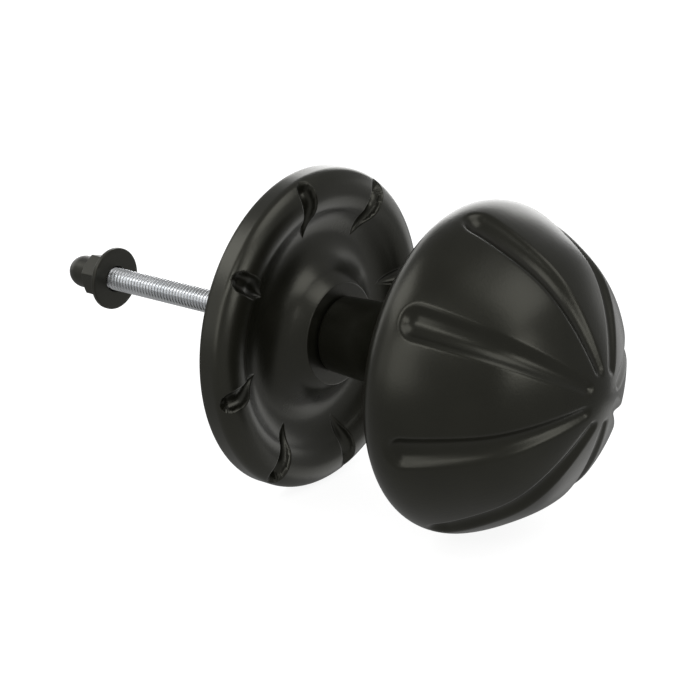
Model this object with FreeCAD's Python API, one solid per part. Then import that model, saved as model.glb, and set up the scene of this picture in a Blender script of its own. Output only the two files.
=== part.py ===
import FreeCAD, Part
import math
import os
from FreeCAD import Vector

# Fluted centre door knob, all sizes in mm.
# Origin: centre of the rose's back face, the plane that meets the door.
# +X runs out of the door towards the knob's nose, +Z is up.

# --- driving dimensions -------------------------------------------------
THREAD_R = 2.94          # crest of the M6 x 1.0 thread
STUD_BACK = -70.45       # stud end inside the cap nut
STUD_FRONT = 28.85       # stud end inside the knob's neck
STUD_CHAMFER = 0.6

ROSE_R = 38.8
ROSE_HOLE_R = 3.4
SEAT_X = 10.2            # flat seat that carries the knob's neck
SEAT_R = 12.2
COVE_R = 9.3             # radius of the cove round the hump
COVE_FLOOR_X = 3.0
COVE_FLOOR_R = 22.55     # where the cove is lowest
RIDGE_R = 29.15          # crisp ridge between the cove and the roll
ROLL_R = 7.0             # section radius of the broad outer roll
SHOULDER_R = 2.4         # section radius where the roll turns down to the flank
ROLL_JOIN = 40.3         # degrees from +X where the two arcs meet
NOTCH_W = 2.4            # half width of a notch where it is widest

FLUTES = 8
FLUTE_PHASE = 12.5       # degrees from +Y towards +Z to the first flute

NECK_END_R = 8.2
NECK_R = 9.65
KNOB_R = 38.15
KNOB_NOSE_X = 82.95

WASHER_FRONT = -62.75
WASHER_T = 1.2
WASHER_R = 8.0
WASHER_HOLE_R = 3.35

NUT_FLATS = 10.0         # across flats
NUT_FRONT = WASHER_FRONT - WASHER_T
NUT_HEX_L = 6.2
NUT_DOME_R = 4.15
NUT_DOME_X = -73.45      # where the dome's straight part ends
NUT_APEX = -77.95
NUT_BORE_R = 3.0         # 0.06 clear of the thread crest, stands for the inner thread
NUT_BORE_X = -74.75
NUT_PHASE = 45.0         # degrees from +Y to a corner

X_AXIS = Vector(1, 0, 0)
ORIGIN = Vector(0, 0, 0)
os.makedirs("parts", exist_ok=True)


def pt(x, r):
    """A point of an outline: x along the axis, r from the axis."""
    return Vector(x, r, 0)


def line(a, b):
    return Part.LineSegment(pt(*a), pt(*b)).toShape()


def arc(a, mid, b):
    return Part.Arc(pt(*a), pt(*mid), pt(*b)).toShape()


def turned(edges):
    """Solid of revolution round the X axis from a closed outline."""
    face = Part.Face(Part.Wire(edges))
    solid = face.revolve(ORIGIN, X_AXIS, 360)
    return solid


def save(shape, node):
    solids = shape.Solids
    assert len(solids) == 1 and solids[0].isValid(), node
    solids[0].exportStep("parts/" + node + ".step")
    box = solids[0].optimalBoundingBox(False)
    print(node, round(solids[0].Volume, 1), [round(v, 2) for v in
          (box.XMin, box.XMax, box.YMin, box.YMax, box.ZMin, box.ZMax)])


def on_circle(centre, radius, degrees):
    a = math.radians(degrees)
    return (centre[0] + radius * math.cos(a), centre[1] + radius * math.sin(a))


# --- rose: moulded round back plate ------------------------------------
# Outside in: upright flank, shoulder arc, broad roll, crisp ridge, cove, hump, flat seat.
roll_centre = (0.2, ROSE_R - SHOULDER_R - (ROLL_R - SHOULDER_R) * math.sin(math.radians(ROLL_JOIN)))
shoulder_centre = on_circle(roll_centre, ROLL_R - SHOULDER_R, ROLL_JOIN)
roll_join = on_circle(roll_centre, ROLL_R, ROLL_JOIN)
ridge = (roll_centre[0] + math.sqrt(ROLL_R ** 2 - (roll_centre[1] - RIDGE_R) ** 2), RIDGE_R)
cove_centre = (COVE_FLOOR_X + COVE_R, COVE_FLOOR_R)
cove_start = (cove_centre[0] - math.sqrt(COVE_R ** 2 - (RIDGE_R - COVE_FLOOR_R) ** 2), RIDGE_R)
cove_inner = on_circle(cove_centre, COVE_R, 180 + 51)
HUMP_TOP = (SEAT_X - 0.3, SEAT_R + 0.75)
# shallow hollow in the back, between the rim land and the boss round the hole
LAND_R = 36.2
HOLLOW_X = 1.0
BOSS_R = 11.6
BOSS_HOLLOW_X = 3.6

rose = turned([
    line((0, ROSE_R - 0.35), (0.35, ROSE_R)),
    line((0.35, ROSE_R), (shoulder_centre[0], ROSE_R)),
    arc((shoulder_centre[0], ROSE_R), on_circle(shoulder_centre, SHOULDER_R, 65), roll_join),
    arc(roll_join, on_circle(roll_centre, ROLL_R, 5), ridge),
    line(ridge, cove_start),
    arc(cove_start, (COVE_FLOOR_X, COVE_FLOOR_R), cove_inner),
    arc(cove_inner, (8.35, 14.25), HUMP_TOP),
    arc(HUMP_TOP, (SEAT_X - 0.08, SEAT_R + 0.3), (SEAT_X, SEAT_R)),
    line((SEAT_X, SEAT_R), (SEAT_X, ROSE_HOLE_R)),
    line((SEAT_X, ROSE_HOLE_R), (0, ROSE_HOLE_R)),
    line((0, ROSE_HOLE_R), (0, BOSS_R)),
    line((0, BOSS_R), (BOSS_HOLLOW_X, BOSS_R + 0.6)),
    line((BOSS_HOLLOW_X, BOSS_R + 0.6), (BOSS_HOLLOW_X, 15.5)),
    line((BOSS_HOLLOW_X, 15.5), (HOLLOW_X, 20.0)),
    line((HOLLOW_X, 20.0), (HOLLOW_X, LAND_R - 0.8)),
    line((HOLLOW_X, LAND_R - 0.8), (0, LAND_R)),
    line((0, LAND_R), (0, ROSE_R - 0.35)),
])

# Leaf-shaped notch across the roll: pointed in the cove, round on the shoulder.
notch_line = Part.BSplineCurve()
notch_line.interpolate([pt(3.1, 24.3), pt(4.5, 27.3), pt(6.0, 30.0), pt(6.9, 32.8), pt(6.3, 36.0)])


def notch_half_width(r):
    t = max(0.0, min(1.0, (r - 24.3) / 9.7))
    return 0.06 + NOTCH_W * t * (2 - t)


def channel(curve, u0, u1, radius_at, lift, steps):
    """Cutter for a round-bottomed channel with ball ends, along a curve in the XY plane.

    radius_at gives its radius at a distance from the axis, lift how far its
    centre stands off the curve."""
    path = []
    for k in range(steps):
        u = u0 + (u1 - u0) * k / (steps - 1)
        p = curve.value(u)
        t = curve.tangent(u)[0]
        n = Vector(-t.y, t.x, 0)
        path.append((p + n * lift(p.y), t, radius_at(p.y)))
    wires = []
    for c, t, radius in path:
        circle = Part.Circle(ORIGIN, X_AXIS, radius).toShape()
        circle.rotate(ORIGIN, Vector(0, 0, 1), math.degrees(math.atan2(t.y, t.x)))
        circle.translate(c)
        wires.append(Part.Wire(circle))
    balls = [Part.makeSphere(radius, c) for c, t, radius in (path[0], path[-1]) if radius > 0.5]
    return [Part.makeLoft(wires, True, False)] + balls


def cut_round(shape, groups):
    """Cuts each group of cutters at all of the evenly spaced places."""
    for cutters in groups:
        placed = []
        for k in range(FLUTES):
            for cutter in cutters:
                copy = cutter.copy()
                copy.rotate(ORIGIN, X_AXIS, FLUTE_PHASE + k * 360.0 / FLUTES)
                placed.append(copy)
        shape = shape.cut(placed)
    return shape


notch_cutters = channel(notch_line, notch_line.FirstParameter, notch_line.LastParameter,
                        notch_half_width, lambda r: 0.0, 13)
rose = cut_round(rose, [notch_cutters])
save(rose, "rose")

# --- knob: fluted dome, flared neck, blind hole for the stud --------------
# Front of the dome, from the rim to the nose.
RIM_BREAK = (44.85, 36.6)
rim_tangent = Vector(1, 0.95, 0)
dome = Part.BSplineCurve()
dome.interpolate([
    pt(*RIM_BREAK),
    pt(49.05, KNOB_R),
    pt(54.85, 37.05),
    pt(62.85, 33.05),
    pt(70.85, 27.3),
    pt(76.85, 19.0),
    pt(81.35, 8.3),
    pt(KNOB_NOSE_X, 0),
], InitialTangent=rim_tangent, FinalTangent=Vector(0, -1, 0))

# Back of the dome and the neck, one smooth flare.
flare = Part.BSplineCurve()
flare.interpolate([
    pt(19.85, NECK_R),
    pt(26.85, 11.9),
    pt(32.85, 17.6),
    pt(38.85, 26.6),
    pt(*RIM_BREAK),
], InitialTangent=Vector(1, 0.03, 0), FinalTangent=rim_tangent)

knob = turned([
    line((SEAT_X, THREAD_R), (SEAT_X, NECK_END_R)),
    arc((SEAT_X, NECK_END_R), (SEAT_X + 0.3, NECK_END_R + 0.7), (SEAT_X + 1.0, NECK_END_R + 1.0)),
    line((SEAT_X + 1.0, NECK_END_R + 1.0), (19.85, NECK_R)),
    flare.toShape(),
    dome.toShape(),
    line((KNOB_NOSE_X, 0), (STUD_FRONT + 1.7, 0)),
    line((STUD_FRONT + 1.7, 0), (STUD_FRONT, THREAD_R)),
    line((STUD_FRONT, THREAD_R), (SEAT_X, THREAD_R)),
])

# A flute is a round-bottomed channel that runs down a meridian of the dome.
# Its half width grows with the distance from the axis.
FLUTE_OUTER = pt(54.65, 37.1)
FLUTE_TIP = pt(81.75, 6.9)


def flute_half_width(r):
    return 0.65 + 0.083 * r


flute_cutters = channel(dome, dome.parameter(FLUTE_OUTER), dome.parameter(FLUTE_TIP),
                        lambda r: 1.184 * flute_half_width(r),
                        lambda r: 0.634 * flute_half_width(r), 9)
knob = cut_round(knob, [[cutter] for cutter in flute_cutters])
save(knob, "knob")

# --- stud -----------------------------------------------------------------
stud = turned([
    line((STUD_BACK, 0), (STUD_BACK, THREAD_R - STUD_CHAMFER)),
    line((STUD_BACK, THREAD_R - STUD_CHAMFER), (STUD_BACK + STUD_CHAMFER, THREAD_R)),
    line((STUD_BACK + STUD_CHAMFER, THREAD_R), (STUD_FRONT - STUD_CHAMFER, THREAD_R)),
    line((STUD_FRONT - STUD_CHAMFER, THREAD_R), (STUD_FRONT, THREAD_R - STUD_CHAMFER)),
    line((STUD_FRONT, THREAD_R - STUD_CHAMFER), (STUD_FRONT, 0)),
    line((STUD_FRONT, 0), (STUD_BACK, 0)),
])
save(stud, "stud")

# --- washer ---------------------------------------------------------------
washer_back = WASHER_FRONT - WASHER_T
EDGE = 0.2
washer = turned([
    line((washer_back, WASHER_HOLE_R), (washer_back, WASHER_R - EDGE)),
    line((washer_back, WASHER_R - EDGE), (washer_back + EDGE, WASHER_R)),
    line((washer_back + EDGE, WASHER_R), (WASHER_FRONT - EDGE, WASHER_R)),
    line((WASHER_FRONT - EDGE, WASHER_R), (WASHER_FRONT, WASHER_R - EDGE)),
    line((WASHER_FRONT, WASHER_R - EDGE), (WASHER_FRONT, WASHER_HOLE_R + EDGE)),
    line((WASHER_FRONT, WASHER_HOLE_R + EDGE), (WASHER_FRONT - EDGE, WASHER_HOLE_R)),
    line((WASHER_FRONT - EDGE, WASHER_HOLE_R), (washer_back, WASHER_HOLE_R)),
])
save(washer, "washer")

# --- domed cap nut ----------------------------------------------------------
nut_hex_back = NUT_FRONT - NUT_HEX_L
corner_r = NUT_FLATS / math.sqrt(3)
CHAMFER_R = 4.95         # circle left on each hex face by the 30 degree chamfer
chamfer_x = (corner_r - CHAMFER_R) * math.tan(math.radians(30))
corners = []
for k in range(7):
    a = math.radians(NUT_PHASE + 60 * k)
    corners.append(Vector(NUT_FRONT, corner_r * math.cos(a), corner_r * math.sin(a)))
prism = Part.Face(Part.makePolygon(corners)).extrude(Vector(-NUT_HEX_L, 0, 0))
barrel = turned([
    line((NUT_FRONT, 0), (NUT_FRONT, CHAMFER_R)),
    line((NUT_FRONT, CHAMFER_R), (NUT_FRONT - chamfer_x, corner_r)),
    line((NUT_FRONT - chamfer_x, corner_r), (nut_hex_back + chamfer_x, corner_r)),
    line((nut_hex_back + chamfer_x, corner_r), (nut_hex_back, CHAMFER_R)),
    line((nut_hex_back, CHAMFER_R), (nut_hex_back, 0)),
    line((nut_hex_back, 0), (NUT_FRONT, 0)),
])
crown = Part.Ellipse(pt(NUT_APEX, 0), pt(NUT_DOME_X, NUT_DOME_R), pt(NUT_DOME_X, 0))
crown_edge = Part.Arc(crown, math.pi * 1.5, math.pi * 2).toShape()
if crown_edge.BoundBox.YMax < NUT_DOME_R / 2:
    crown_edge = Part.Arc(crown, 0, math.pi * 0.5).toShape()
cap = turned([
    line((NUT_FRONT - 1, 0), (NUT_FRONT - 1, NUT_DOME_R)),
    line((NUT_FRONT - 1, NUT_DOME_R), (NUT_DOME_X, NUT_DOME_R)),
    crown_edge,
    line((NUT_APEX, 0), (NUT_FRONT - 1, 0)),
])
bore = turned([
    line((NUT_FRONT + 1, 0), (NUT_FRONT + 1, NUT_BORE_R)),
    line((NUT_FRONT + 1, NUT_BORE_R), (NUT_BORE_X, NUT_BORE_R)),
    line((NUT_BORE_X, NUT_BORE_R), (NUT_BORE_X - 0.9, 0)),
    line((NUT_BORE_X - 0.9, 0), (NUT_FRONT + 1, 0)),
])
cap_nut = prism.common(barrel).fuse(cap).cut(bore)
save(cap_nut, "cap_nut")
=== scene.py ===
import math

import bmesh
import bpy
import numpy as np
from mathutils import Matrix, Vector


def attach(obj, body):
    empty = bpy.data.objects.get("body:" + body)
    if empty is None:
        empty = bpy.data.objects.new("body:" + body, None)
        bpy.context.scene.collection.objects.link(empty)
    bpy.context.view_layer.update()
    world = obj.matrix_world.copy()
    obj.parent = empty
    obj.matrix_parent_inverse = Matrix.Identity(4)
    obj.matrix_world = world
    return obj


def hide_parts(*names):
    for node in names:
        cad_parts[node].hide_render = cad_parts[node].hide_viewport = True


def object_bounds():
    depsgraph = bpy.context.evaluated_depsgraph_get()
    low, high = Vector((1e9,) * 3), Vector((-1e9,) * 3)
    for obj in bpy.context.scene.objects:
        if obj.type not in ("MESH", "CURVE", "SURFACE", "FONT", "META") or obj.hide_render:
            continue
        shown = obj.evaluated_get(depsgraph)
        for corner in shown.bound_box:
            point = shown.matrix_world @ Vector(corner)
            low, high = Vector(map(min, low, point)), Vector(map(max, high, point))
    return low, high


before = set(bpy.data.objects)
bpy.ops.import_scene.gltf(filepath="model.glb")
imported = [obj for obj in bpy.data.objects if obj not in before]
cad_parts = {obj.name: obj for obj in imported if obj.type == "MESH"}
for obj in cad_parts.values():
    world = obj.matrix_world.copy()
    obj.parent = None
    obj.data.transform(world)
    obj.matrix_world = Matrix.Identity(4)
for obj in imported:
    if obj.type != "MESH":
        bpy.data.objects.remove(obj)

cad_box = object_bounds()
MM = 0.001

# Fluted centre door knob with its rose, stud, washer and cap nut.
# Outlines are in mm: x runs along the stud to the knob's nose, r out from the stud's axis.

# --- driving dimensions ------------------------------------------------------
THREAD_R = 2.94                     # crest of the M6 x 1.0 thread, and the knob's bore
THREAD_ROOT_R = 2.36
THREAD_PITCH = 1.0
STUD_BACK = -70.45
STUD_FRONT = 28.85                  # bottom of the knob's bore

ROSE_R = 38.8
ROSE_HOLE_R = 3.4
SEAT_X = 10.2                       # flat seat that carries the knob's neck
SEAT_R = 12.2
COVE_R = 9.3                        # radius of the cove round the hump
COVE_FLOOR_X = 3.0
COVE_FLOOR_R = 22.55                # where the cove is lowest
RIDGE_R = 29.15                     # ridge between the cove and the roll
RIDGE_SOFT = 0.7                    # length of the rounding to each side of the ridge
ROLL_R = 7.0                        # section radius of the broad outer roll
SHOULDER_R = 2.4                    # section radius where the roll turns down to the flank
ROLL_JOIN = math.radians(40.3)      # angle from +X where the two arcs meet
LAND_R = 36.2                       # flat rim at the back starts here
HOLLOW_X = 1.0                      # depth of the hollow inside the rim
BOSS_R = 11.6
BOSS_HOLLOW_X = 3.6                 # depth of the relief round the middle boss

FLUTES = 8                          # flutes on the knob, and notches on the rose
SECTOR = 2 * math.pi / FLUTES
FLUTE_PHASE = math.radians(12.5)    # first flute and notch, from +Y towards +Z
FLUTE_OUTER_X = 54.65               # a flute starts here, on the dome
FLUTE_TIP_R = 6.9                   # and ends this far from the axis

NOTCH_TIP_R = 24.3                  # pointed end of a notch, in the cove
NOTCH_GROWTH = 9.7                  # distance over which it reaches its full width
NOTCH_W = 2.4                       # half width of a notch where it is widest

NECK_END_R = 8.2
NECK_R = 9.65

WASHER_FRONT, WASHER_BACK = -62.75, -63.95
WASHER_R = 8.0
WASHER_HOLE_R = 3.35

NUT_FRONT, NUT_HEX_BACK = -63.95, -70.15
NUT_FLAT_R = 5.0                    # from the axis to a flat
NUT_CHAMFER_R = 4.95                # circle left on each hexagon face by the 30 degree chamfer
NUT_PHASE = math.radians(45)        # from +Y to a corner
NUT_DOME_R = 4.15
NUT_DOME_X = -73.45                 # where the dome's straight part ends
NUT_APEX = -77.95
NUT_BORE_R = 3.0
NUT_BORE_X = -74.75


# --- outlines ----------------------------------------------------------------
def line(a, b, step=1.0):
    """Points from a to b, without b."""
    a, b = np.array(a, float), np.array(b, float)
    n = max(1, int(math.ceil(np.linalg.norm(b - a) / step)))
    t = np.arange(n)[:, None] / n
    return a + (b - a) * t


def arc(a, mid, b, step=0.3):
    """Points of the circle through a, mid and b, from a to b without b."""
    (ax, ay), (mx, my), (bx, by) = a, mid, b
    d = 2 * (ax * (my - by) + mx * (by - ay) + bx * (ay - my))
    ux = ((ax ** 2 + ay ** 2) * (my - by) + (mx ** 2 + my ** 2) * (by - ay)
          + (bx ** 2 + by ** 2) * (ay - my)) / d
    uy = ((ax ** 2 + ay ** 2) * (bx - mx) + (mx ** 2 + my ** 2) * (ax - bx)
          + (bx ** 2 + by ** 2) * (mx - ax)) / d
    radius = math.hypot(ax - ux, ay - uy)
    t0, tm, t1 = (math.atan2(y - uy, x - ux) for x, y in (a, mid, b))
    turn = (t1 - t0) % (2 * math.pi)
    if (tm - t0) % (2 * math.pi) > turn:
        turn -= 2 * math.pi
    n = max(2, int(math.ceil(abs(turn) * radius / step)))
    t = t0 + turn * np.arange(n) / n
    return np.stack([ux + radius * np.cos(t), uy + radius * np.sin(t)], 1)


def spline(points, start, end, step=0.4):
    """Smooth curve through the points with given end tangents, without the last point."""
    p = np.array(points, float)
    u = np.concatenate([[0], np.cumsum(np.linalg.norm(np.diff(p, axis=0), axis=1))])
    h = np.diff(u)
    n = len(p)
    a = np.zeros((n, n))
    rhs = np.zeros((n, 2))
    a[0, 0] = a[-1, -1] = 1
    rhs[0] = np.array(start) / np.linalg.norm(start)
    rhs[-1] = np.array(end) / np.linalg.norm(end)
    for i in range(1, n - 1):
        a[i, i - 1] = h[i]
        a[i, i] = 2 * (h[i - 1] + h[i])
        a[i, i + 1] = h[i - 1]
        rhs[i] = 3 * (h[i] * (p[i] - p[i - 1]) / h[i - 1] + h[i - 1] * (p[i + 1] - p[i]) / h[i])
    m = np.linalg.solve(a, rhs)
    count = max(4, int(math.ceil(u[-1] / step)))
    t = u[-1] * np.arange(count) / count
    i = np.clip(np.searchsorted(u, t, side="right") - 1, 0, n - 2)
    s = ((t - u[i]) / h[i])[:, None]
    hi = h[i][:, None]
    return ((2 * s ** 3 - 3 * s ** 2 + 1) * p[i] + (s ** 3 - 2 * s ** 2 + s) * hi * m[i]
            + (3 * s ** 2 - 2 * s ** 3) * p[i + 1] + (s ** 3 - s ** 2) * hi * m[i + 1])


def on_circle(centre, radius, angle):
    return (centre[0] + radius * math.cos(angle), centre[1] + radius * math.sin(angle))


def outline_normals(p):
    """Outward normals of an open outline that runs with the solid on its right."""
    t = np.gradient(p, axis=0)
    t /= np.linalg.norm(t, axis=1)[:, None]
    return np.stack([-t[:, 1], t[:, 0]], 1)


# --- solids turned and carved round the axis -----------------------------------
def full_turn(steps):
    return 2 * math.pi * np.arange(steps) / steps


def spin(outline, angles):
    """Rows of points: an outline, or its normals, turned to each angle."""
    x = np.repeat(outline[:, :1], len(angles), 1)
    y = outline[:, 1:] * np.cos(angles)[None]
    z = outline[:, 1:] * np.sin(angles)[None]
    return np.stack([x, y, z], -1)


def sector_angles(half_dense, dense, coarse):
    """Column angles of one sector round its centre: close together near the cut."""
    a = np.linspace(-half_dense, half_dense, dense + 1)
    b = np.linspace(half_dense, SECTOR - half_dense, coarse + 1)[1:-1]
    return np.concatenate([a, b])


def all_sectors(rows):
    """Repeats the rows of one sector all the way round the axis."""
    r = np.hypot(rows[..., 1], rows[..., 2])
    a = np.arctan2(rows[..., 2], rows[..., 1])
    turned = []
    for k in range(FLUTES):
        b = a + FLUTE_PHASE + SECTOR * k
        turned.append(np.stack([rows[..., 0], r * np.cos(b), r * np.sin(b)], -1))
    return np.concatenate(turned, 1)


def smooth_max(a, b, k):
    """The larger of a and b, rounded over k where they cross."""
    h = np.maximum(k - np.abs(a - b), 0) / k
    return np.maximum(a, b) + h * h * k / 4


def smooth_min(a, b, k):
    return -smooth_max(-a, -b, k)


def balls_clearance(points, centres, radii):
    """Distance outside a row of balls whose centres lie in the plane z = 0."""
    best = np.full(points.shape[:-1], 1e9)
    for (cx, cy), radius in zip(centres, radii):
        dx = points[..., 0] - cx
        d = np.sqrt(dx ** 2 + (points[..., 1] - cy) ** 2 + points[..., 2] ** 2) - radius
        best = np.minimum(best, d)
    return best


def carve(rows, direction, centres, radii, rounding, deepest):
    """Sinks each point along direction until it leaves the balls, with a rounded edge."""
    low = np.zeros(rows.shape[:-1])
    high = np.full(rows.shape[:-1], deepest)
    for _ in range(14):
        mid = (low + high) / 2
        clear = balls_clearance(rows + direction * mid[..., None], centres, radii)
        inside = smooth_max(-mid, -clear, rounding) > 0
        low = np.where(inside, mid, low)
        high = np.where(inside, high, mid)
    return rows + direction * ((low + high) / 2)[..., None]


# --- meshes --------------------------------------------------------------------
def new_object(name, points, faces):
    """Object from points in mm."""
    me = bpy.data.meshes.new(name)
    me.from_pydata((points * MM).tolist(), [], faces)
    me.update()
    ob = bpy.data.objects.new(name, me)
    bpy.context.collection.objects.link(ob)
    return ob


def turned_object(name, rows, tips=False, loop=False):
    """Smooth object from rows of points, closed round its columns.

    tips closes the first and the last row on the axis, loop joins them to each other."""
    nr, nc, _ = rows.shape
    points = rows.reshape(-1, 3)
    i = np.arange(nr if loop else nr - 1)[:, None] * nc
    j = np.arange(nc)[None, :]
    below = (i + nc) % (nr * nc)
    beside = (j + 1) % nc
    faces = np.stack([i + j, i + beside, below + beside, below + j], -1).reshape(-1, 4).tolist()
    if tips:
        first, last = len(points), len(points) + 1
        start = (nr - 1) * nc
        points = np.vstack([points, rows[0].mean(0), rows[-1].mean(0)])
        faces += [(first, (k + 1) % nc, k) for k in range(nc)]
        faces += [(last, start + k, start + (k + 1) % nc) for k in range(nc)]
    ob = new_object(name, points, faces)
    polygons = ob.data.polygons
    polygons.foreach_set("use_smooth", np.ones(len(polygons), bool))
    return ob


# --- knob: fluted dome, flared neck, bore for the stud ---------------------------
RIM = (44.85, 36.6)                 # where the flare turns into the dome
RIM_TANGENT = (1, 0.95)
DOME = [RIM, (49.05, 38.15), (54.85, 37.05), (62.85, 33.05), (70.85, 27.3),
        (76.85, 19.0), (81.35, 8.3), (82.95, 0.0)]


def dome_outline(step):
    return spline(DOME, RIM_TANGENT, (0, -1), step)


def neck_outline():
    """From the bottom of the bore, out over the neck's end and along the flare to the rim."""
    flare = [(19.85, NECK_R), (26.85, 11.9), (32.85, 17.6), (38.85, 26.6), RIM]
    return np.vstack([
        line((STUD_FRONT + 1.7, 0.3), (STUD_FRONT, THREAD_R), 2),
        line((STUD_FRONT, THREAD_R), (SEAT_X + 0.4, THREAD_R), 8),
        line((SEAT_X + 0.4, THREAD_R), (SEAT_X, THREAD_R + 0.4), 1),
        line((SEAT_X, THREAD_R + 0.4), (SEAT_X, NECK_END_R), 2),
        arc((SEAT_X, NECK_END_R), (SEAT_X + 0.3, NECK_END_R + 0.7), (SEAT_X + 1.0, NECK_END_R + 1.0), 0.2),
        line((SEAT_X + 1.0, NECK_END_R + 1.0), (19.85, NECK_R), 1.2),
        spline(flare, (1, 0.03), RIM_TANGENT, 0.9),
    ])


def flute_balls():
    """Centres and radii of the balls whose path cuts one flute."""
    fine = dome_outline(0.25)
    cut = (fine[:, 0] > FLUTE_OUTER_X) & (fine[:, 1] > FLUTE_TIP_R)
    path, normals = fine[cut], outline_normals(fine)[cut]
    half_width = 0.65 + 0.083 * path[:, 1]
    return path + normals * (0.634 * half_width)[:, None], 1.184 * half_width


def make_knob():
    angles = sector_angles(math.radians(11), 44, 10)
    dome = dome_outline(0.4)
    centres, radii = flute_balls()
    fluted = carve(spin(dome, angles), -spin(outline_normals(dome), angles), centres, radii, 0.9, 5.0)
    around = np.concatenate([angles + FLUTE_PHASE + SECTOR * k for k in range(FLUTES)])
    rows = np.vstack([spin(neck_outline(), around), all_sectors(fluted)])
    return turned_object("knob_fluted", rows, tips=True)


# --- rose: moulded round plate with leaf-shaped notches ----------------------------
def rose_outline():
    """Flank, shoulder, roll, ridge, cove, hump and seat, then the hole and the hollow back."""
    roll_c = (0.2, ROSE_R - SHOULDER_R - (ROLL_R - SHOULDER_R) * math.sin(ROLL_JOIN))
    shoulder_c = on_circle(roll_c, ROLL_R - SHOULDER_R, ROLL_JOIN)
    roll_join = on_circle(roll_c, ROLL_R, ROLL_JOIN)
    ridge_x = roll_c[0] + math.sqrt(ROLL_R ** 2 - (roll_c[1] - RIDGE_R) ** 2)
    roll_end = on_circle(roll_c, ROLL_R, RIDGE_SOFT / ROLL_R - math.acos((ridge_x - roll_c[0]) / ROLL_R))
    cove_c = (COVE_FLOOR_X + COVE_R, COVE_FLOOR_R)
    cove_start = on_circle(cove_c, COVE_R, math.pi + RIDGE_SOFT / COVE_R
                           - math.asin((RIDGE_R - COVE_FLOOR_R) / COVE_R))
    cove_inner = on_circle(cove_c, COVE_R, math.radians(236))
    hump_top = (SEAT_X - 0.22, SEAT_R + 0.35)
    return np.vstack([
        line((0.0, LAND_R), (0.0, ROSE_R - 0.3), 1.2),
        arc((0.0, ROSE_R - 0.3), (0.1, ROSE_R - 0.1), (0.3, ROSE_R), 0.15),
        line((0.3, ROSE_R), (shoulder_c[0], ROSE_R), 0.8),
        arc((shoulder_c[0], ROSE_R), on_circle(shoulder_c, SHOULDER_R, math.radians(65)), roll_join, 0.2),
        arc(roll_join, on_circle(roll_c, ROLL_R, 0.05), roll_end, 0.2),
        arc(roll_end, (ridge_x - 0.02, RIDGE_R + 0.01), cove_start, 0.1),
        arc(cove_start, (COVE_FLOOR_X, COVE_FLOOR_R), cove_inner, 0.22),
        arc(cove_inner, (8.58, 13.75), hump_top, 0.25),
        arc(hump_top, (SEAT_X - 0.06, SEAT_R + 0.22), (SEAT_X, SEAT_R), 0.07),
        line((SEAT_X, SEAT_R), (SEAT_X, ROSE_HOLE_R + 0.3), 1.5),
        line((SEAT_X, ROSE_HOLE_R + 0.3), (SEAT_X - 0.3, ROSE_HOLE_R), 1),
        line((SEAT_X - 0.3, ROSE_HOLE_R), (0, ROSE_HOLE_R), 3),
        line((0, ROSE_HOLE_R), (0, BOSS_R), 3),
        line((0, BOSS_R), (BOSS_HOLLOW_X - 0.2, BOSS_R + 0.5), 1),
        arc((BOSS_HOLLOW_X - 0.2, BOSS_R + 0.5), (BOSS_HOLLOW_X, BOSS_R + 0.8),
            (BOSS_HOLLOW_X, BOSS_R + 1.4), 0.2),
        line((BOSS_HOLLOW_X, BOSS_R + 1.4), (BOSS_HOLLOW_X, 15.5), 1),
        line((BOSS_HOLLOW_X, 15.5), (HOLLOW_X, 20.0), 1),
        line((HOLLOW_X, 20.0), (HOLLOW_X, LAND_R - 0.8), 2),
        line((HOLLOW_X, LAND_R - 0.8), (0.0, LAND_R), 0.5),
    ])


def notch_balls():
    """Centres and radii of the balls whose path cuts one notch, pointed in the cove."""
    path = spline([(3.1, NOTCH_TIP_R), (4.5, 27.3), (6.0, 30.0), (6.9, 32.8), (6.3, 36.0)],
                  (1.0, 2.3), (-0.35, 1.0), 0.3)
    t = np.clip((path[:, 1] - NOTCH_TIP_R) / NOTCH_GROWTH, 0, 1)
    return path, 0.06 + NOTCH_W * t * (2 - t)


def make_rose():
    angles = sector_angles(math.radians(6.5), 44, 14)
    outline = rose_outline()
    rows = spin(outline, angles)
    front = (outline[:, 0] > 2.0) & (outline[:, 1] > 23.5)
    # the notches sink straight back in the cove, and towards the axis near the shoulder
    lean = math.radians(70) * np.clip((outline[front, 1] - 33.0) / 5.8, 0, 1)
    down = -spin(np.stack([np.cos(lean), np.sin(lean)], 1), angles)
    centres, radii = notch_balls()
    rows[front] = carve(rows[front], down, centres, radii, 0.3, 3.6)
    return turned_object("rose_moulded", all_sectors(rows), loop=True)


# --- stud: rod with a helical thread ------------------------------------------------
def helix_faces(rows, corners, steps):
    """Faces between the rows of a helix, where a full turn moves on by one tooth."""
    faces = []
    for i in range(rows - 1):
        for j in range(steps - 1):
            quad = (i, j), (i, j + 1), (i + 1, j + 1), (i + 1, j)
            faces.append([a * steps + b for a, b in quad])
        if i + corners + 1 < rows:
            quad = (i, steps - 1), (i + corners, 0), (i + corners + 1, 0), (i + 1, steps - 1)
            faces.append([a * steps + b for a, b in quad])
    return faces


def weld(me):
    """Joins the points that fall together where the thread meets the stud's end."""
    bm = bmesh.new()
    bm.from_mesh(me)
    bmesh.ops.remove_doubles(bm, verts=bm.verts, dist=1e-6)
    bmesh.ops.dissolve_degenerate(bm, edges=bm.edges, dist=1e-6)
    bm.to_mesh(me)
    bm.free()


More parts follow.
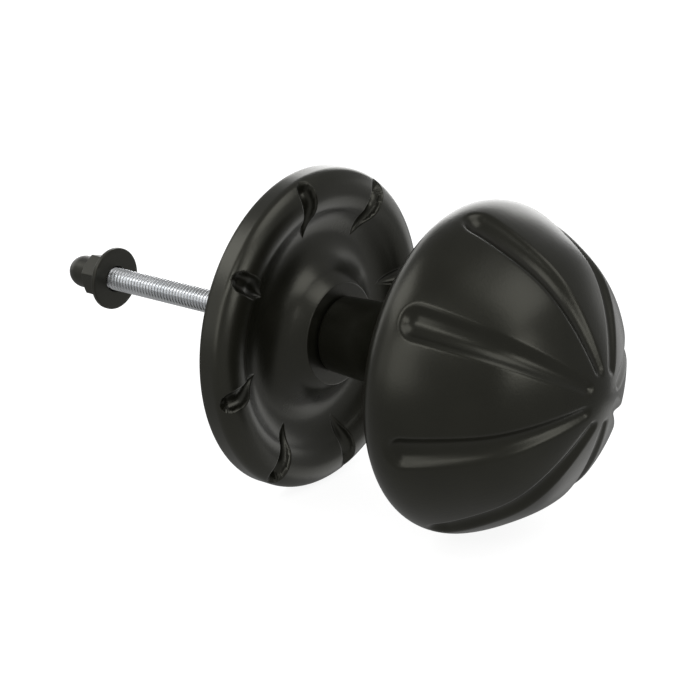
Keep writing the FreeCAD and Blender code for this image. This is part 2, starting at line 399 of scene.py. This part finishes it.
def make_stud():
    steps = 40
    crest_edge = THREAD_R - 0.04
    end_r = 2.0                     # the back end is chamfered at 45 degrees down to this radius
    thread_end = SEAT_X + 0.5       # the rest is out of sight in the knob's bore
    tooth = [(0.0, THREAD_ROOT_R), (0.10, THREAD_ROOT_R), (0.41, crest_edge), (0.46, THREAD_R),
             (0.58, THREAD_R), (0.63, crest_edge), (0.94, THREAD_ROOT_R)]
    turns = int(SEAT_X - STUD_BACK) + 3
    starts = STUD_BACK - 1.5 + THREAD_PITCH * np.arange(turns)
    tooth_x, tooth_r = np.array(tooth).T
    angle = full_turn(steps)
    x = (starts[:, None] + tooth_x).ravel()[:, None] + THREAD_PITCH * angle[None] / (2 * math.pi)
    r = np.repeat(np.tile(tooth_r, turns)[:, None], steps, 1)
    r = np.minimum(r, end_r + np.maximum(x - STUD_BACK, 0))
    x = np.clip(x, STUD_BACK, thread_end)
    points = np.stack([x, r * np.cos(angle)[None], r * np.sin(angle)[None]], -1)
    faces = helix_faces(len(x), len(tooth), steps)
    ob = new_object("stud_threaded", points.reshape(-1, 3), faces)
    weld(ob.data)
    return ob


# --- washer -------------------------------------------------------------------------
def make_washer():
    edge = 0.25                     # length of each edge's rounding
    bend = 0.07                     # how far its middle lies in from both faces
    front, back = WASHER_FRONT, WASHER_BACK
    outline = np.vstack([
        arc((back, WASHER_R - edge), (back + bend, WASHER_R - bend), (back + edge, WASHER_R), 0.06),
        line((back + edge, WASHER_R), (front - edge, WASHER_R), 1),
        arc((front - edge, WASHER_R), (front - bend, WASHER_R - bend), (front, WASHER_R - edge), 0.06),
        line((front, WASHER_R - edge), (front, WASHER_HOLE_R + edge), 1),
        arc((front, WASHER_HOLE_R + edge), (front - bend, WASHER_HOLE_R + bend),
            (front - edge, WASHER_HOLE_R), 0.06),
        line((front - edge, WASHER_HOLE_R), (back, WASHER_HOLE_R), 1),
        line((back, WASHER_HOLE_R), (back, WASHER_R - edge), 1),
    ])
    return turned_object("washer_ring", spin(outline, full_turn(144)), loop=True)


# --- domed cap nut --------------------------------------------------------------------
def nut_outline():
    """From the bottom of the bore, out over the hexagon's chamfers to the dome's apex."""
    corner_r = NUT_FLAT_R / math.cos(math.radians(30))
    chamfer_x = (corner_r - NUT_CHAMFER_R) * math.tan(math.radians(30))
    t = np.linspace(0, math.pi / 2, 16)[:-1]
    dome = [NUT_DOME_X - (NUT_DOME_X - NUT_APEX) * np.sin(t), NUT_DOME_R * np.cos(t)]
    return np.vstack([
        line((NUT_BORE_X - 0.9, 0.2), (NUT_BORE_X, NUT_BORE_R), 2),
        line((NUT_BORE_X, NUT_BORE_R), (NUT_FRONT - 0.4, NUT_BORE_R), 4),
        line((NUT_FRONT - 0.4, NUT_BORE_R), (NUT_FRONT, NUT_BORE_R + 0.4), 1),
        line((NUT_FRONT, NUT_BORE_R + 0.4), (NUT_FRONT, NUT_CHAMFER_R - 0.3), 1),
        line((NUT_FRONT, NUT_CHAMFER_R - 0.3), (NUT_FRONT, NUT_CHAMFER_R), 0.1),
        line((NUT_FRONT, NUT_CHAMFER_R), (NUT_FRONT - chamfer_x, corner_r), 0.07),
        line((NUT_FRONT - chamfer_x, corner_r), (NUT_HEX_BACK + chamfer_x, corner_r), 0.6),
        line((NUT_HEX_BACK + chamfer_x, corner_r), (NUT_HEX_BACK, NUT_CHAMFER_R), 0.07),
        line((NUT_HEX_BACK, NUT_CHAMFER_R), (NUT_HEX_BACK, NUT_DOME_R + 0.15), 0.2),
        arc((NUT_HEX_BACK, NUT_DOME_R + 0.15), (NUT_HEX_BACK - 0.05, NUT_DOME_R + 0.05),
            (NUT_HEX_BACK - 0.2, NUT_DOME_R), 0.05),
        line((NUT_HEX_BACK - 0.2, NUT_DOME_R), (NUT_DOME_X, NUT_DOME_R), 0.5),
        np.stack(dome, 1),
    ])


def make_cap_nut():
    """The turned outline, with everything outside the dome cut back to the hexagon."""
    outline = nut_outline()
    angle = full_turn(180)
    hexagon_r = NUT_FLAT_R / np.cos((angle - NUT_PHASE) % (math.pi / 3) - math.pi / 6)
    round_r = np.repeat(outline[:, 1:], len(angle), 1)
    r = np.where(round_r > NUT_DOME_R + 0.25, smooth_min(round_r, hexagon_r[None], 0.12), round_r)
    rows = spin(outline, angle)
    rows[..., 1] = r * np.cos(angle)[None]
    rows[..., 2] = r * np.sin(angle)[None]
    return turned_object("cap_nut_domed", rows, tips=True)


# --- materials ---------------------------------------------------------------------------
def material(name):
    mat = bpy.data.materials.new(name)
    mat.use_nodes = True
    nt = mat.node_tree
    bsdf = nt.nodes["Principled BSDF"]
    return mat, nt, bsdf


def node(nt, kind, **inputs):
    n = nt.nodes.new(kind)
    for key, value in inputs.items():
        n.inputs[key.replace("_", " ")].default_value = value
    return n


def clouded_surface(nt, bsdf, noise, colours, positions, rough_range):
    """Lets one noise vary the colour between two values, and the roughness over a range."""
    ramp = nt.nodes.new("ShaderNodeValToRGB")
    for element, colour, position in zip(ramp.color_ramp.elements, colours, positions):
        element.position = position
        element.color = (*colour, 1)
    nt.links.new(noise.outputs["Fac"], ramp.inputs["Fac"])
    nt.links.new(ramp.outputs["Color"], bsdf.inputs["Base Color"])
    rmap = node(nt, "ShaderNodeMapRange", To_Min=rough_range[0], To_Max=rough_range[1])
    nt.links.new(noise.outputs["Fac"], rmap.inputs["Value"])
    nt.links.new(rmap.outputs["Result"], bsdf.inputs["Roughness"])


def powder_coat(name, dark, light, rough, shine=0.5):
    """Black powder coat: faint clouds in colour and gloss, with a fine orange peel."""
    mat, nt, bsdf = material(name)
    bsdf.inputs["Specular Tint"].default_value = (1.0, 0.99, 0.86, 1)
    bsdf.inputs["Specular IOR Level"].default_value = shine
    coord = nt.nodes.new("ShaderNodeTexCoord")
    cloud = node(nt, "ShaderNodeTexNoise", Scale=60.0, Detail=3.0)
    peel = node(nt, "ShaderNodeTexNoise", Scale=1400.0, Detail=2.0)
    nt.links.new(coord.outputs["Object"], cloud.inputs["Vector"])
    nt.links.new(coord.outputs["Object"], peel.inputs["Vector"])
    clouded_surface(nt, bsdf, cloud, (dark, light), (0.35, 0.7), (rough - 0.05, rough + 0.05))
    bump = node(nt, "ShaderNodeBump", Strength=0.08, Distance=0.0002)
    nt.links.new(peel.outputs["Fac"], bump.inputs["Height"])
    nt.links.new(bump.outputs["Normal"], bsdf.inputs["Normal"])
    return mat


def zinc(name):
    """Bright zinc plating."""
    mat, nt, bsdf = material(name)
    bsdf.inputs["Metallic"].default_value = 1.0
    coord = nt.nodes.new("ShaderNodeTexCoord")
    noise = node(nt, "ShaderNodeTexNoise", Scale=120.0, Detail=2.0)
    nt.links.new(coord.outputs["Object"], noise.inputs["Vector"])
    colours = (0.78, 0.80, 0.82), (0.88, 0.89, 0.90)
    clouded_surface(nt, bsdf, noise, colours, (0.3, 0.75), (0.20, 0.26))
    return mat


def pale_floor(name):
    mat, nt, bsdf = material(name)
    bsdf.inputs["Base Color"].default_value = (0.25, 0.25, 0.25, 1)
    bsdf.inputs["Emission Color"].default_value = (1, 1, 1, 1)
    bsdf.inputs["Emission Strength"].default_value = 0.90
    bsdf.inputs["Roughness"].default_value = 0.9
    bsdf.inputs["Specular IOR Level"].default_value = 0.0
    return mat


# --- the five pieces -------------------------------------------------------------------
CAST_DARK, CAST_LIGHT, CAST_ROUGH = (0.0034, 0.0034, 0.0022), (0.0058, 0.0058, 0.0040), 0.29
black_knob = powder_coat("black_powder", CAST_DARK, CAST_LIGHT, CAST_ROUGH)
black_rose = powder_coat("black_powder_rose", CAST_DARK, CAST_LIGHT, CAST_ROUGH, 0.63)
black_small = powder_coat("black_fastener", (0.0050, 0.0050, 0.0036), (0.0090, 0.0090, 0.0070), 0.40)

for ob, body, nod, slot, mat in (
    (make_knob(), "knob", "knob", "black_casting", black_knob),
    (make_rose(), "rose", "rose", "black_casting", black_rose),
    (make_stud(), "knob", "stud", "zinc_steel", zinc("zinc_thread")),
    (make_washer(), "washer", "washer", "black_fastener", black_small),
    (make_cap_nut(), "cap_nut", "cap_nut", "black_fastener", black_small),
):
    ob.data.materials.append(mat)
    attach(ob, body)
    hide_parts(nod)


# --- floor, lights and camera --------------------------------------------------------------
def make_floor(half=6000.0):
    z = cad_box[0][2] / MM
    corners = [(-half, -half, z), (half, -half, z), (half, half, z), (-half, half, z)]
    ob = new_object("floor", np.array(corners), [(0, 1, 2, 3)])
    ob.data.materials.append(pale_floor("floor_pale"))
    ob.visible_glossy = False
    ob.visible_shadow = False
    return ob


def softbox(name, azimuth, height, wide, tall, radiance, distance=1.3):
    """Soft light that fills wide by tall degrees of the knob's surroundings."""
    az, el = math.radians(azimuth), math.radians(height)
    away = Vector((math.cos(el) * math.cos(az), math.cos(el) * math.sin(az), math.sin(el)))
    light = bpy.data.lights.new(name, "AREA")
    light.shape = "RECTANGLE"
    light.size = 2 * distance * math.tan(math.radians(wide) / 2)
    light.size_y = 2 * distance * math.tan(math.radians(tall) / 2)
    light.energy = 4 * radiance * light.size * light.size_y
    ob = bpy.data.objects.new(name, light)
    ob.location = Vector((0.05, 0, 0)) + away * distance
    ob.rotation_euler = (-away).to_track_quat("-Z", "Y").to_euler()
    bpy.context.collection.objects.link(ob)
    return ob


def make_lights():
    """Soft boxes by azimuth from +X towards +Y and height, then their angles and radiance."""
    softbox("rear_left_box", -180, 15, 30, 30, 0.9)
    softbox("left_high_box", -142, 45, 32, 28, 1.6)
    softbox("left_edge_box", -120, 15, 30, 30, 0.4)
    softbox("left_box", -90, 16, 30, 34, 0.9)
    softbox("left_strip", -74, 38, 24, 12, 2.6)
    softbox("right_box", -8, 15, 22, 24, 1.8)
    softbox("right_high_box", 12, 52, 36, 34, 1.2)
    softbox("far_box", 120, 13, 34, 36, 1.9)
    softbox("far_right_box", 84, -4, 30, 28, 0.55)
    softbox("low_right_box", 74, -36, 40, 24, 0.45)
    softbox("far_left_box", 150, 15, 30, 30, 0.9)
    softbox("ceiling", 0, 90, 90, 90, 0.6).visible_glossy = False


def make_world():
    world = bpy.data.worlds.new("studio")
    world.use_nodes = True
    background = world.node_tree.nodes["Background"]
    background.inputs["Color"].default_value = (1, 1, 1, 1)
    background.inputs["Strength"].default_value = 0.31
    return world


def make_camera():
    cam = bpy.data.cameras.new("camera")
    cam.sensor_width = 36
    cam.lens = 102.86
    cam.clip_start = 0.01
    ob = bpy.data.objects.new("camera", cam)
    ob.location = (0.28502, -0.35475, 0.15080)
    ob.rotation_euler = Vector((-0.57501, 0.75027, -0.32629)).to_track_quat("-Z", "Y").to_euler()
    bpy.context.collection.objects.link(ob)
    return ob


make_floor()
make_lights()
bpy.context.scene.world = make_world()
bpy.context.scene.view_settings.view_transform = "Standard"
bpy.context.scene.camera = make_camera()
